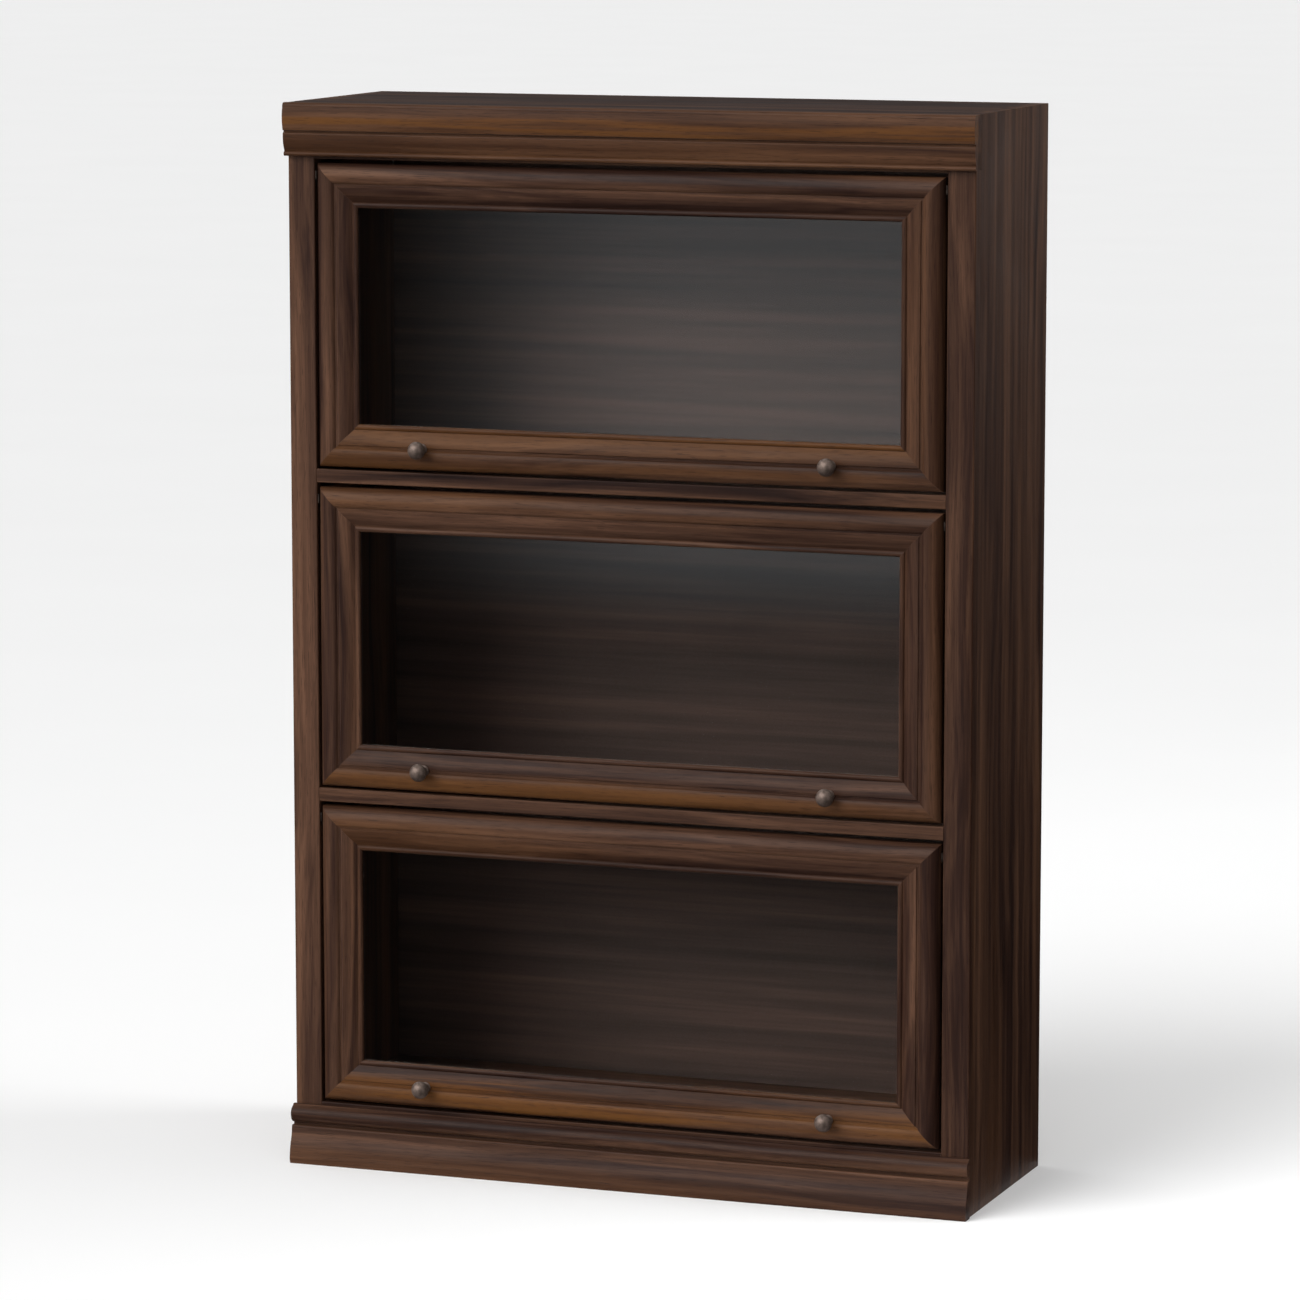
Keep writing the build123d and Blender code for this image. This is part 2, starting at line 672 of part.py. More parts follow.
def follower_strip(number):
    """The wooden strip that keeps both ends of a door level as it slides."""
    z_top = pivot_height(number) - STRIP_TOP
    y1 = STRIP_FRONT + STRIP_DEPTH
    half = BRACKET_INNER
    strip = block(-half, half, STRIP_FRONT, y1, z_top - STRIP_HEIGHT, z_top)
    return fillet(strip.edges().filter_by(Axis.X), STRIP_EDGE)


def bumper(side, number):
    """A felt pad on the follower strip, which the closed door rests against."""
    z = pivot_height(number) - STRIP_TOP - STRIP_HEIGHT / 2
    pad = rod_y(BUMPER_RADIUS, side * BUMPER_SPREAD, STRIP_FRONT - BUMPER_DEPTH, STRIP_FRONT, z)
    return chamfer(pad.edges().group_by(Axis.Y)[0], BUMPER_EDGE)


def save_carriage(number):
    """Write the pieces that slide with one door but don't swing."""
    door = LEVELS[number] + "_door"
    save(f"{door}_follower_strip", follower_strip(number))
    save(f"{door}_brackets", *[bracket(side, number) for side in SIDES])
    save(f"{door}_slide_blocks", *[slide_block(side, number) for side in SIDES])
    save(f"{door}_bumpers", *[bumper(side, number) for side in SIDES])


os.makedirs("parts", exist_ok=True)
save_case()
for level_number in LEVELS:
    save_door(level_number)
    save_carriage(level_number)
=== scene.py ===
"""Looks for the barrister bookcase: materials, knobs, camera, floor and lights.

Everything is in metres in the CAD frame: +X right, +Y to the back, +Z up, floor at Z = 0.
"""
import math

import bpy
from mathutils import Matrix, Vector


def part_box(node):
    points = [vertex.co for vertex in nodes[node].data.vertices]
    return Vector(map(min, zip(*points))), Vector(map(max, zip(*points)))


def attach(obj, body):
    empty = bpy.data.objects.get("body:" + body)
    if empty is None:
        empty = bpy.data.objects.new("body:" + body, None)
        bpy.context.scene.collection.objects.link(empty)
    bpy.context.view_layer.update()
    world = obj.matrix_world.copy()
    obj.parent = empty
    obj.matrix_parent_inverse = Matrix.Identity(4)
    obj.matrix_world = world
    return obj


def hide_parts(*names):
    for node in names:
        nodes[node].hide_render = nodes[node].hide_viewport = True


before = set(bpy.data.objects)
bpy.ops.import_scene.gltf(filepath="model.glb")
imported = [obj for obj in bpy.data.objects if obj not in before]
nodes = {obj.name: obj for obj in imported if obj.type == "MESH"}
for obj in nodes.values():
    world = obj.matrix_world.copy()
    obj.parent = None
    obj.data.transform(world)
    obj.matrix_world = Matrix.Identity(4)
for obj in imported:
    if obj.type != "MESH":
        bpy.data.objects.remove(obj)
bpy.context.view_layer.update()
LEVELS = ("lower", "middle", "upper")

# Camera, at the photograph's angle: three-quarter view from the right, looking slightly down
CAMERA_PLACE = (2.3358, -6.3356, 1.5967)
CAMERA_YAW = 0.3554
CAMERA_PITCH = 0.1439
CAMERA_LENS = 161.26
SENSOR = 36.0

# Key light, a broad sun from the front left, in degrees
KEY_ENERGY = 2.45
KEY_SPREAD = 45
KEY_TILT = 57
KEY_TURN = -32

# Fill light for the right side
FILL_ENERGY = 46.0
FILL_SIZE = 1.6
FILL_PLACE = Vector((2.6, 0.7, 2.4))
FILL_AIM = Vector((0.42, 0.05, 0.60))

# Surround: its brightest direction, and how bright it is from the far side round to there
BRIGHT_WAY = Vector((-0.60, -0.72, 0.24))
SURROUND_TONES = ((0.0, 0.11), (0.35, 0.25), (1.0, 0.90))
SURROUND_STRENGTH = 0.95

# Floor: half its width, and its mottle
FLOOR_HALF = 60.0
FLOOR_TONES = ((0.3, 0.945), (0.7, 0.955))

# Card just above the floor: its outline and the hole around the object's foot, in X and Y
CARD_RISE = 0.002
CARD_RING = ((-14, -20), (9, -20), (9, 16), (-14, 16))
CARD_HOLE = ((-0.43, -0.17), (0.43, -0.17), (0.43, 0.165), (-0.43, 0.165))
# Card: the colours of its glow, a painted reflection that is no lamp, dark over most of it and pale in one
# corner
CARD_PAINTED_DARK = (0.012, 0.010, 0.009)
CARD_PAINTED_SHEEN = (0.55, 0.58, 0.60)
# Card: the dark of its flag, painted shade, that soft bounces beside the object see
CARD_PAINTED_SHADE = ((0.0, (0.016, 0.012, 0.010)), (1.0, (0.020, 0.015, 0.012)))

# Card: its glow, a painted reflection, turns pale left of a slanting line through the pivot, and this far
# in front of the object; there it paints the upper panes' grey reflection
SHEEN_PIVOT = (2.33, 6.10)
SHEEN_SLOPES = (0.43, 0.36)
SHEEN_AHEAD = (4.3, 5.8)

# Card: the X from which it stops soft bounces, beside the object, a dark flag that paints shade on the
# object's right side near the floor
PAINTED_SHADE_EDGE = (0.40, 0.60)

# Walnut finish, linear colours from the darkest grain to the lightest
GRAIN_DARK = (0.010, 0.004, 0.003)
GRAIN_DEEP = (0.026, 0.011, 0.007)
GRAIN_MID = (0.056, 0.026, 0.015)
GRAIN_LIGHT = (0.116, 0.056, 0.032)
GRAIN_AMBER = (0.120, 0.048, 0.012)
AMBER_SHADE = (0.075, 0.028, 0.008)
WORN_EDGE = (0.120, 0.066, 0.042)
GRAIN_STOPS = ((0.36, GRAIN_DARK), (0.45, GRAIN_DEEP), (0.53, GRAIN_MID), (0.66, GRAIN_LIGHT))
AMBER_STOPS = ((0.38, AMBER_SHADE), (0.62, GRAIN_AMBER))

# Texture scales: features per metre along the grain and across it
WANDER = (1.6, 7.0)
STREAKS = (0.9, 34.0)
BANDS = (1.1, 95.0)
FIBRES = (7.0, 420.0)
PATCHES = (0.7, 14.0)
PORES = (48.0, 1500.0)
SCUFFS = (30.0, 30.0)
HANDLING = (9.0, 9.0)
SWAY = (2.2, 30.0)
FRAY = (3.0, 120.0)
FADE = (1.3, 2.0)
BACK_STREAKS = (1.0, 40.0)
BACK_FLECKS = (520.0, 520.0)
BACK_CLOUDS = (5.0, 5.0)
SMEARS = (5.0, 5.0)
WAVES = (3.0, 3.0)
SCRATCHES = (900.0, 60.0)
PITS = (500.0, 500.0)
METAL_CLOUDS = (180.0, 180.0)
PLASTIC_CLOUDS = (90.0, 90.0)
MOTTLE = (1.5, 1.5)
SEED_STEP = (1.37, 0.61, 0.29)

# Walnut: shares of streaks, bands and fibres in its figure, and how far the grain bends, in metres
FIGURE_SHARES = (0.56, 0.30, 0.14)
WANDER_REACH = 0.060
SWAY_REACH = 0.030

# Walnut: the noise levels between which amber patches, pores and scuffs come in, and how much they show
PATCH_LEVELS = (0.50, 0.66)
PORE_LEVELS = (0.60, 0.70)
SCUFF_LEVELS = (0.42, 0.66)
PORE_SHOW = 0.55
WEAR_SHOW = 0.45

# Walnut: roughness of the bare satin, and what fibres, handling and wear add to it
SATIN = 0.27
FIBRE_ROUGHNESS = 0.16
HANDLING_ROUGHNESS = 0.20
WEAR_ROUGHNESS = 0.12

# Worn edges: reach in metres, and the agreement of rounded and flat normals from none to full
WOOD_WEAR_REACH = 0.0012
METAL_WEAR_REACH = 0.0008
METAL_WEAR_SHOW = 0.8
EDGE_TURN = (0.995, 0.88)

# Fine relief: strength and depth in metres
WOOD_RELIEF = (0.22, 0.0004)
BACK_RELIEF = (0.25, 0.0004)
GLASS_RELIEF = (0.02, 0.0005)
METAL_RELIEF = (0.15, 0.0002)
PLASTIC_RELIEF = (0.3, 0.0002)

# Bare board and hardboard, linear colours
RAW_BOARD = (0.260, 0.175, 0.100)
RAW_TURN = (0.90, 0.98)
CHIPS_PER_METRE = 420.0
CHIP_DARKEST = 0.45
CHIP_LIGHTEST = 1.7
BACK_INSIDE = ((0.34, (0.024, 0.011, 0.008)), (0.52, (0.047, 0.023, 0.016)), (0.70, (0.082, 0.042, 0.030)))
BACK_BEHIND = ((0.30, (0.085, 0.050, 0.026)), (0.50, (0.165, 0.100, 0.052)), (0.72, (0.270, 0.175, 0.100)))
BACK_ROUGHNESS = (0.50, 0.78)

# Clear glass
GLASS_ROUGHNESS = (0.001, 0.008)
GLASS_TINTS = ((0.3, (0.955, 0.975, 0.965)), (0.7, (0.985, 0.992, 0.988)))
GLASS_LIGHT_THROUGH = (0.90, 0.93, 0.92, 1.0)

# Boards of the case: grain axis, seed, warmth, tone, and whether back and bottom edges are bare. The tones
# partly paint light and shade: the left side panel, whose inner face lies in shade, lighter; the right
# front stile darker than the left; the top panel darker
BOARDS = {
    "side_panel_left": ("Z", 1.0, 0.15, 0.030, True),
    "side_panel_right": ("Z", 2.35, 0.15, 0.004, True),
    "front_stile_left": ("Z", 3.0, 0.15, 0.030, False),
    "front_stile_right": ("Z", 4.0, 0.15, 0.010, False),
    "top_panel": ("X", 5.0, 0.10, -0.050, False),
    "header_rail": ("X", 6.0, 0.20, 0.000, False),
    "cornice_moulding": ("X", 7.0, 0.30, 0.004, False),
    "upper_shelf": ("X", 8.0, 0.15, -0.005, False),
    "lower_shelf": ("X", 9.0, 0.15, -0.005, False),
    "bottom_deck": ("X", 10.0, 0.15, -0.005, True),
    "base_moulding": ("X", 11.0, 0.25, -0.004, False),
    "base_front_rail": ("X", 12.0, 0.10, -0.010, True),
    "base_rear_rail": ("X", 13.0, 0.10, -0.010, True),
    "wall_rail": ("X", 14.0, 0.10, -0.010, False),
}
RUNNER_SEEDS = {"guide_rails_left": 15.0, "guide_rails_right": 16.0}
RUNNER_WARMTH = 0.3

# Door frame bars: grain axis, warmth and tone; the tones partly paint shade, the right stiles darker than
# the left ones
FRAME_BARS = {
    "top_rail": ("X", 0.35, 0.004),
    "bottom_rail": ("X", 0.80, 0.008),
    "left_stile": ("Z", 0.15, 0.004),
    "right_stile": ("Z", 0.15, -0.006),
}

# Nodes with a warm, lighter amber band at fixed heights, and the heights in metres between which it runs
AMBER_BANDS = {"cornice_moulding": (1.226, 1.247), "lower_door_bottom_rail": (0.078, 0.114)}

# Eased edges, in metres
BOARD_EDGE = 0.0005
RUNNER_EDGE = 0.0004
FRAME_EDGE = 0.0003
WELD_REACH = 1e-5
SHARP_ANGLE = math.radians(40)


# ------------------------------------------------------------------ node helpers


def add(tree, kind, values=None, **settings):
    """A new shader node, with its settings and its inputs, which are values or sockets."""
    made = tree.nodes.new(kind)
    for key, value in settings.items():
        setattr(made, key, value)
    for key, value in (values or {}).items():
        if isinstance(value, bpy.types.NodeSocket):
            tree.links.new(value, made.inputs[key])
        else:
            made.inputs[key].default_value = value
    return made


def maths(tree, operation, a, b=0.0):
    """The result of one Math node."""
    return add(tree, "ShaderNodeMath", {0: a, 1: b}, operation=operation).outputs[0]


def times(tree, *factors):
    """The product of several values."""
    product = factors[0]
    for factor in factors[1:]:
        product = maths(tree, "MULTIPLY", product, factor)
    return product


def total(tree, *terms):
    """The sum of several values."""
    result = terms[0]
    for term in terms[1:]:
        result = maths(tree, "ADD", result, term)
    return result


def vector_maths(tree, operation, a, b):
    """The vector result of one Vector Math node."""
    return add(tree, "ShaderNodeVectorMath", {0: a, 1: b}, operation=operation).outputs[0]


def split(tree, vector):
    """The three parts of a vector."""
    return add(tree, "ShaderNodeSeparateXYZ", {0: vector}).outputs


def noise(tree, vector, scales, detail=3.0, roughness=0.55):
    """Noise with so many features per metre along X and across it."""
    along, across = scales
    scaled = vector_maths(tree, "MULTIPLY", vector, (along, across, across))
    values = {"Vector": scaled, "Scale": 1.0, "Detail": detail, "Roughness": roughness}
    return add(tree, "ShaderNodeTexNoise", values).outputs[0]


def ramp(tree, factor, stops):
    """A colour ramp through (position, colour) stops."""
    made = add(tree, "ShaderNodeValToRGB", {0: factor})
    points = made.color_ramp.elements
    while len(points) < len(stops):
        points.new(1.0)
    for point, (position, colour) in zip(points, stops):
        point.position = position
        point.color = (*colour, 1.0)
    return made.outputs[0]


def greys(stops):
    """Colour ramp stops from (position, grey) ones."""
    return tuple((position, (grey, grey, grey)) for position, grey in stops)


def spread(tree, factor, low, high, to_low=0.0, to_high=1.0):
    """A value remapped smoothly from one range to another, and held within it."""
    values = {"Value": factor, "From Min": low, "From Max": high, "To Min": to_low, "To Max": to_high}
    return add(tree, "ShaderNodeMapRange", values, interpolation_type="SMOOTHSTEP").outputs[0]


def mix(tree, factor, a, b):
    """Two colours mixed by a factor."""
    made = add(tree, "ShaderNodeMix", data_type="RGBA")
    for socket, value in ((made.inputs[0], factor), (made.inputs[6], a), (made.inputs[7], b)):
        if isinstance(value, bpy.types.NodeSocket):
            tree.links.new(value, socket)
        elif isinstance(value, tuple):
            socket.default_value = (*value, 1.0)
        else:
            socket.default_value = value
    return made.outputs[2]


def new_material(name, **shader_values):
    """A material with one Principled shader: (material, tree, shader)."""
    made = bpy.data.materials.new(name)
    made.use_nodes = True
    tree = made.node_tree
    shader = tree.nodes["Principled BSDF"]
    for key, value in shader_values.items():
        shader.inputs[key.replace("_", " ")].default_value = value
    return made, tree, shader


def bumped(tree, shader, height, relief):
    """Give a shader its fine relief, of a strength and a depth."""
    strength, distance = relief
    bump = add(tree, "ShaderNodeBump", {"Strength": strength, "Distance": distance, "Height": height})
    tree.links.new(bump.outputs[0], shader.inputs["Normal"])


def blend(tree, factor, first, second):
    """Two shaders mixed by a factor."""
    return add(tree, "ShaderNodeMixShader", {0: factor, 1: first.outputs[0], 2: second.outputs[0]})


def show(tree, shader):
    """Make a shader the material's surface."""
    output = next(n for n in tree.nodes if n.type == "OUTPUT_MATERIAL")
    tree.links.new(shader.outputs[0], output.inputs["Surface"])


def place(tree):
    """Object coordinates, which are the CAD frame at rest."""
    return add(tree, "ShaderNodeTexCoord").outputs["Object"]


def grain_vector(tree, axis, seed):
    """Coordinates turned so that the grain runs along X, and moved on by the seed."""
    parts = split(tree, place(tree))
    order = {"X": (0, 1, 2), "Y": (1, 0, 2), "Z": (2, 1, 0)}[axis]
    turned = add(tree, "ShaderNodeCombineXYZ", {i: parts[k] for i, k in enumerate(order)})
    return vector_maths(tree, "ADD", turned.outputs[0], tuple(seed * step for step in SEED_STEP))


def edge_mask(tree, radius):
    """Near 1 along sharp outer and inner edges, and 0 on flat faces."""
    rounded = add(tree, "ShaderNodeBevel", {"Radius": radius}, samples=4).outputs[0]
    normal = add(tree, "ShaderNodeNewGeometry").outputs["Normal"]
    agreement = add(tree, "ShaderNodeVectorMath", {0: rounded, 1: normal}, operation="DOT_PRODUCT")
    return spread(tree, agreement.outputs["Value"], *EDGE_TURN)


# ------------------------------------------------------------------ materials


def walnut(name, axis, seed, warm=0.25, tone=0.0, raw=False):
    """Satin walnut-look foil: dark streaks along the grain, amber patches, pores and worn edges, and a tone
    per board that partly paints light and shade.
    """
    made, tree, shader = new_material(name, Specular_IOR_Level=0.10)
    grain = grain_vector(tree, axis, seed)
    fibres = noise(tree, grain, FIBRES, roughness=0.65)
    figure = grain_figure(tree, grain, fibres, tone)
    colour = ramp(tree, figure, GRAIN_STOPS)

    amber = times(tree, spread(tree, noise(tree, grain, PATCHES, detail=2.0), *PATCH_LEVELS), warm)
    if name in AMBER_BANDS:
        amber = maths(tree, "MAXIMUM", amber, amber_band(tree, grain, AMBER_BANDS[name]))
    colour = mix(tree, amber, colour, ramp(tree, figure, AMBER_STOPS))

    pores = spread(tree, noise(tree, grain, PORES, detail=1.0), *PORE_LEVELS)
    colour = mix(tree, times(tree, pores, PORE_SHOW), colour, GRAIN_DARK)

    scuffs = noise(tree, grain, SCUFFS, detail=4.0, roughness=0.7)
    worn = times(tree, edge_mask(tree, WOOD_WEAR_REACH), spread(tree, scuffs, *SCUFF_LEVELS))
    colour = mix(tree, times(tree, worn, WEAR_SHOW), colour, WORN_EDGE)
    if raw:
        colour = mix(tree, raw_faces(tree), colour, chipboard(tree))
    tree.links.new(colour, shader.inputs["Base Color"])

    fibrous = times(tree, fibres, FIBRE_ROUGHNESS)
    handled = times(tree, noise(tree, grain, HANDLING), HANDLING_ROUGHNESS)
    rubbed = times(tree, worn, WEAR_ROUGHNESS)
    tree.links.new(total(tree, fibrous, handled, rubbed, SATIN), shader.inputs["Roughness"])
    bumped(tree, shader, maths(tree, "SUBTRACT", times(tree, fibres, 0.5), pores), WOOD_RELIEF)
    return made


def grain_figure(tree, grain, fibres, tone):
    """The wood's figure: broad streaks, narrow bands and fibres, on a grain that wanders, raised or lowered
    by the tone, which partly paints light and shade.
    """
    wander = maths(tree, "SUBTRACT", noise(tree, grain, WANDER, detail=2.0), 0.5)
    bent = vector_maths(tree, "ADD", grain, times(tree, wander, WANDER_REACH))
    streaks = noise(tree, bent, STREAKS, detail=4.0, roughness=0.62)
    bands = noise(tree, bent, BANDS, roughness=0.6)
    parts = [times(tree, part, share) for part, share in zip((streaks, bands, fibres), FIGURE_SHARES)]
    return total(tree, *parts, tone)


def amber_band(tree, grain, heights):
    """A warm band along the board between two fixed heights, with wandering, frayed edges."""
    low, high = heights
    sway = maths(tree, "SUBTRACT", noise(tree, grain, SWAY, roughness=0.6), 0.5)
    moved = total(tree, split(tree, place(tree))[2], times(tree, sway, SWAY_REACH))
    rise = spread(tree, moved, low, low + 0.006)
    fall = spread(tree, moved, high, high - 0.008)
    fray = spread(tree, noise(tree, grain, FRAY), 0.34, 0.56, 0.25, 1.0)
    fade = spread(tree, noise(tree, grain, FADE, detail=1.0), 0.40, 0.58, 0.40, 1.0)
    return times(tree, rise, fall, fray, fade)


def raw_faces(tree):
    """1 on the faces left bare: those that look to the back or down."""
    normal = split(tree, add(tree, "ShaderNodeTexCoord").outputs["Normal"])
    back = spread(tree, normal[1], *RAW_TURN)
    down = spread(tree, times(tree, normal[2], -1.0), *RAW_TURN)
    return maths(tree, "MAXIMUM", back, down)


def chipboard(tree):
    """The pressed wood chips of a bare board edge."""
    chips = add(tree, "ShaderNodeTexVoronoi", {"Vector": place(tree), "Scale": CHIPS_PER_METRE})
    dark = tuple(c * CHIP_DARKEST for c in RAW_BOARD)
    light = tuple(c * CHIP_LIGHTEST for c in RAW_BOARD)
    return ramp(tree, split(tree, chips.outputs["Color"])[0], ((0.0, dark), (0.5, RAW_BOARD), (1.0, light)))


def back_board():
    """Thin hardboard: a dark printed face inside and a bare brown face behind."""
    made, tree, shader = new_material("back_board", Specular_IOR_Level=0.35)
    streaks = noise(tree, grain_vector(tree, "X", 5.3), BACK_STREAKS, detail=5.0, roughness=0.65)
    flecks = noise(tree, place(tree), BACK_FLECKS, detail=4.0, roughness=0.75)
    clouds = noise(tree, place(tree), BACK_CLOUDS)
    tone = total(tree, times(tree, flecks, 0.7), times(tree, clouds, 0.3))
    colour = mix(tree, raw_faces(tree), ramp(tree, streaks, BACK_INSIDE), ramp(tree, tone, BACK_BEHIND))
    tree.links.new(colour, shader.inputs["Base Color"])
    tree.links.new(spread(tree, flecks, 0.3, 0.7, *BACK_ROUGHNESS), shader.inputs["Roughness"])
    bumped(tree, shader, flecks, BACK_RELIEF)
    return made


def door_glass():
    """Clear float glass, with a faint wave, light smears and a slight green tint."""
    made, tree, shader = new_material("door_glass", Transmission_Weight=1.0, IOR=1.45)
    smears = noise(tree, place(tree), SMEARS, detail=1.0)
    tree.links.new(spread(tree, smears, 0.30, 0.80, *GLASS_ROUGHNESS), shader.inputs["Roughness"])
    tree.links.new(ramp(tree, smears, GLASS_TINTS), shader.inputs["Base Color"])
    bumped(tree, shader, noise(tree, place(tree), WAVES, detail=0.0), GLASS_RELIEF)
    lamps = add(tree, "ShaderNodeBsdfTransparent", {"Color": GLASS_LIGHT_THROUGH})
    shadow = add(tree, "ShaderNodeLightPath").outputs["Is Shadow Ray"]
    show(tree, blend(tree, shadow, shader, lamps))
    return made


def metal(name, base, dark, roughness, marks=SCRATCHES, wear=None, metallic=1.0):
    """A metal whose colour and roughness vary with fine scratches or pits and soft clouds."""
    made, tree, shader = new_material(name, Metallic=metallic)
    scratches = noise(tree, place(tree), marks, roughness=0.7)
    clouds = noise(tree, place(tree), METAL_CLOUDS, detail=4.0, roughness=0.65)
    colour = mix(tree, spread(tree, clouds, 0.35, 0.65), dark, base)
    if wear:
        worn = times(tree, edge_mask(tree, METAL_WEAR_REACH), METAL_WEAR_SHOW)
        colour = mix(tree, worn, colour, wear)
    tree.links.new(colour, shader.inputs["Base Color"])
    both = total(tree, times(tree, scratches, 0.5), times(tree, clouds, 0.5))
    tree.links.new(spread(tree, both, 0.3, 0.7, *roughness), shader.inputs["Roughness"])
    bumped(tree, shader, scratches, METAL_RELIEF)
    return made


def plastic(name, base, dark, rough, grain=1400.0):
    """Moulded plastic or felt: a fine surface grain and slight clouding."""
    made, tree, shader = new_material(name)
    fine = noise(tree, place(tree), (grain, grain), roughness=0.7)
    clouds = noise(tree, place(tree), PLASTIC_CLOUDS)
    both = total(tree, times(tree, fine, 0.5), times(tree, clouds, 0.5))
    tree.links.new(mix(tree, spread(tree, both, 0.35, 0.65), dark, base), shader.inputs["Base Color"])
    tree.links.new(spread(tree, fine, 0.3, 0.7, rough - 0.08, rough + 0.08), shader.inputs["Roughness"])
    bumped(tree, shader, fine, PLASTIC_RELIEF)
    return made


# ------------------------------------------------------------------ pieces


def dress(node, material):
    """Give a CAD node its material."""
    slots = nodes[node].data.materials
    slots.clear()
    slots.append(material)


def ease_edges(node, width):
    """Round a board's machined edges slightly, so that they catch the light."""
    piece = nodes[node]
    weld = piece.modifiers.new("join_faces", "WELD")
    weld.merge_threshold = WELD_REACH
    bevel = piece.modifiers.new("eased_edges", "BEVEL")
    bevel.width = width
    bevel.segments = 2
    bevel.limit_method = "ANGLE"
    bevel.angle_limit = SHARP_ANGLE
    bevel.miter_outer = "MITER_ARC"
    shade = piece.modifiers.new("face_shading", "WEIGHTED_NORMAL")
    shade.keep_sharp = False


def lathe(name, profile, steps=72):
    """A smooth turned solid about Z from (radius, height) points that start and end on the axis."""
    rings = profile[1:-1]
    points = [(0.0, 0.0, profile[0][1])]
    for radius, height in rings:
        for k in range(steps):
            angle = 2 * math.pi * k / steps
            points.append((radius * math.cos(angle), radius * math.sin(angle), height))
    points.append((0.0, 0.0, profile[-1][1]))
    last = len(points) - 1
    faces = [(0, 1 + (k + 1) % steps, 1 + k) for k in range(steps)]
    for ring in range(len(rings) - 1):
        low = 1 + ring * steps
        high = low + steps
        for k in range(steps):
            after = (k + 1) % steps
            faces.append((low + k, low + after, high + after, high + k))
    top = last - steps
    faces += [(top + k, top + (k + 1) % steps, last) for k in range(steps)]
    mesh = bpy.data.meshes.new(name)
    mesh.from_pydata(points, [], faces)
    mesh.shade_smooth()
    return bpy.data.objects.new(name, mesh)


def arc(start, end, bulge, count):
    """Points on a shallow curve from start to end that swells sideways by bulge."""
    (r0, z0), (r1, z1) = start, end
    length = math.hypot(r1 - r0, z1 - z0)
    side = ((z1 - z0) / length * bulge, (r0 - r1) / length * bulge)
    points = []
    for k in range(count + 1):
        t = k / count
        swell = 4 * t * (1 - t)
        points.append((r0 + (r1 - r0) * t + side[0] * swell, z0 + (z1 - z0) * t + side[1] * swell))
    return points


def knob_profile(radius, length):
    """Foot, waist, collar and domed head of a turned knob."""
    foot = 0.62 * radius
    waist = 0.46 * radius
    collar = 0.975 * radius
    points = [(0.0, 0.0), (foot - 0.0003, 0.0), (foot, 0.0003), (foot, 0.0014), (foot - 0.0003, 0.0018)]
    points += arc((foot - 0.0008, 0.0020), (waist, 0.46 * length), -0.0007, 10)
    points += arc((waist + 0.0002, 0.48 * length), (0.945 * radius, 0.590 * length), -0.0008, 8)
    points += arc((collar, 0.600 * length), (collar, 0.720 * length), 0.0002, 8)
    points += arc((0.925 * radius, 0.745 * length), (0.001, 0.9995 * length), 0.0017, 22)
    points.append((0.0, length))
    return points


def turned_knobs(level, material):
    """The two knobs of one door, finely turned, where the CAD knobs are."""
    node = f"{level}_door_knobs"
    low, high = (Vector(corner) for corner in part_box(node))
    radius = (high.z - low.z) / 2
    length = high.y - low.y
    for hand, x in (("left", low.x + radius), ("right", high.x - radius)):
        knob = lathe(f"{level}_door_knob_{hand}", knob_profile(radius, length))
        knob.location = (x, high.y, (low.z + high.z) / 2)
        knob.rotation_euler = (math.pi / 2, 0, 0)
        bpy.context.scene.collection.objects.link(knob)
        knob.data.materials.append(material)
        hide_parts(node)
        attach(knob, f"{level}_door")


def dress_case():
    """Wood and board of the fixed case."""
    for node, (axis, seed, warm, tone, raw) in BOARDS.items():
        dress(node, walnut(node, axis, seed, warm, tone, raw))
        ease_edges(node, BOARD_EDGE)
    for node, seed in RUNNER_SEEDS.items():
        dress(node, walnut(node, "Y", seed, RUNNER_WARMTH))
        ease_edges(node, RUNNER_EDGE)
    dress("back_panel", back_board())


def dress_fittings():
    """Metal, plastic, felt and glass, on the case and on every door."""
    steel = metal("zinc_plate", (0.60, 0.60, 0.58), (0.42, 0.42, 0.42), (0.25, 0.45))
    dark_steel = metal("bronzed_steel", (0.050, 0.038, 0.032), (0.022, 0.017, 0.015), (0.40, 0.60))
    zinc = metal("die_cast", (0.46, 0.46, 0.46), (0.30, 0.30, 0.30), (0.40, 0.60), marks=PITS)
    pewter = metal("antique_pewter", (0.184, 0.135, 0.113), (0.100, 0.072, 0.058), (0.44, 0.60),
                   wear=(0.262, 0.194, 0.162), metallic=0.70)
    parts = {
        "glass": door_glass(),
        "glass_retainer": plastic("retainer_strip", (0.030, 0.022, 0.018), (0.014, 0.010, 0.009), 0.55),
        "slide_blocks": plastic("nylon", (0.028, 0.021, 0.018), (0.016, 0.012, 0.010), 0.42),
        "bumpers": plastic("felt", (0.060, 0.036, 0.026), (0.022, 0.014, 0.010), 0.90, grain=2600.0),
        "knob_screws": steel,
        "pivot_pins": dark_steel,
        "brackets": dark_steel,
    }
    for level in LEVELS:
        for part, material in parts.items():
            dress(f"{level}_door_{part}", material)
        turned_knobs(level, pewter)
    for node in ("guide_rail_screws", "back_panel_nails", "cam_bolts"):
        dress(node, steel)
    dress("cam_locks", zinc)


def dress_doors():
    """Wood of the door frames and their follower strips."""
    for number, level in enumerate(LEVELS):
        for bar, (axis, warm, tone) in FRAME_BARS.items():
            node = f"{level}_door_{bar}"
            seed = 20.0 + number * 5 + len(bar) * 0.37
            dress(node, walnut(node, axis, seed, warm, tone))
            ease_edges(node, FRAME_EDGE)
        strip = walnut(f"{level}_strip", "X", 40.0 + number, RUNNER_WARMTH)
        dress(f"{level}_door_follower_strip", strip)


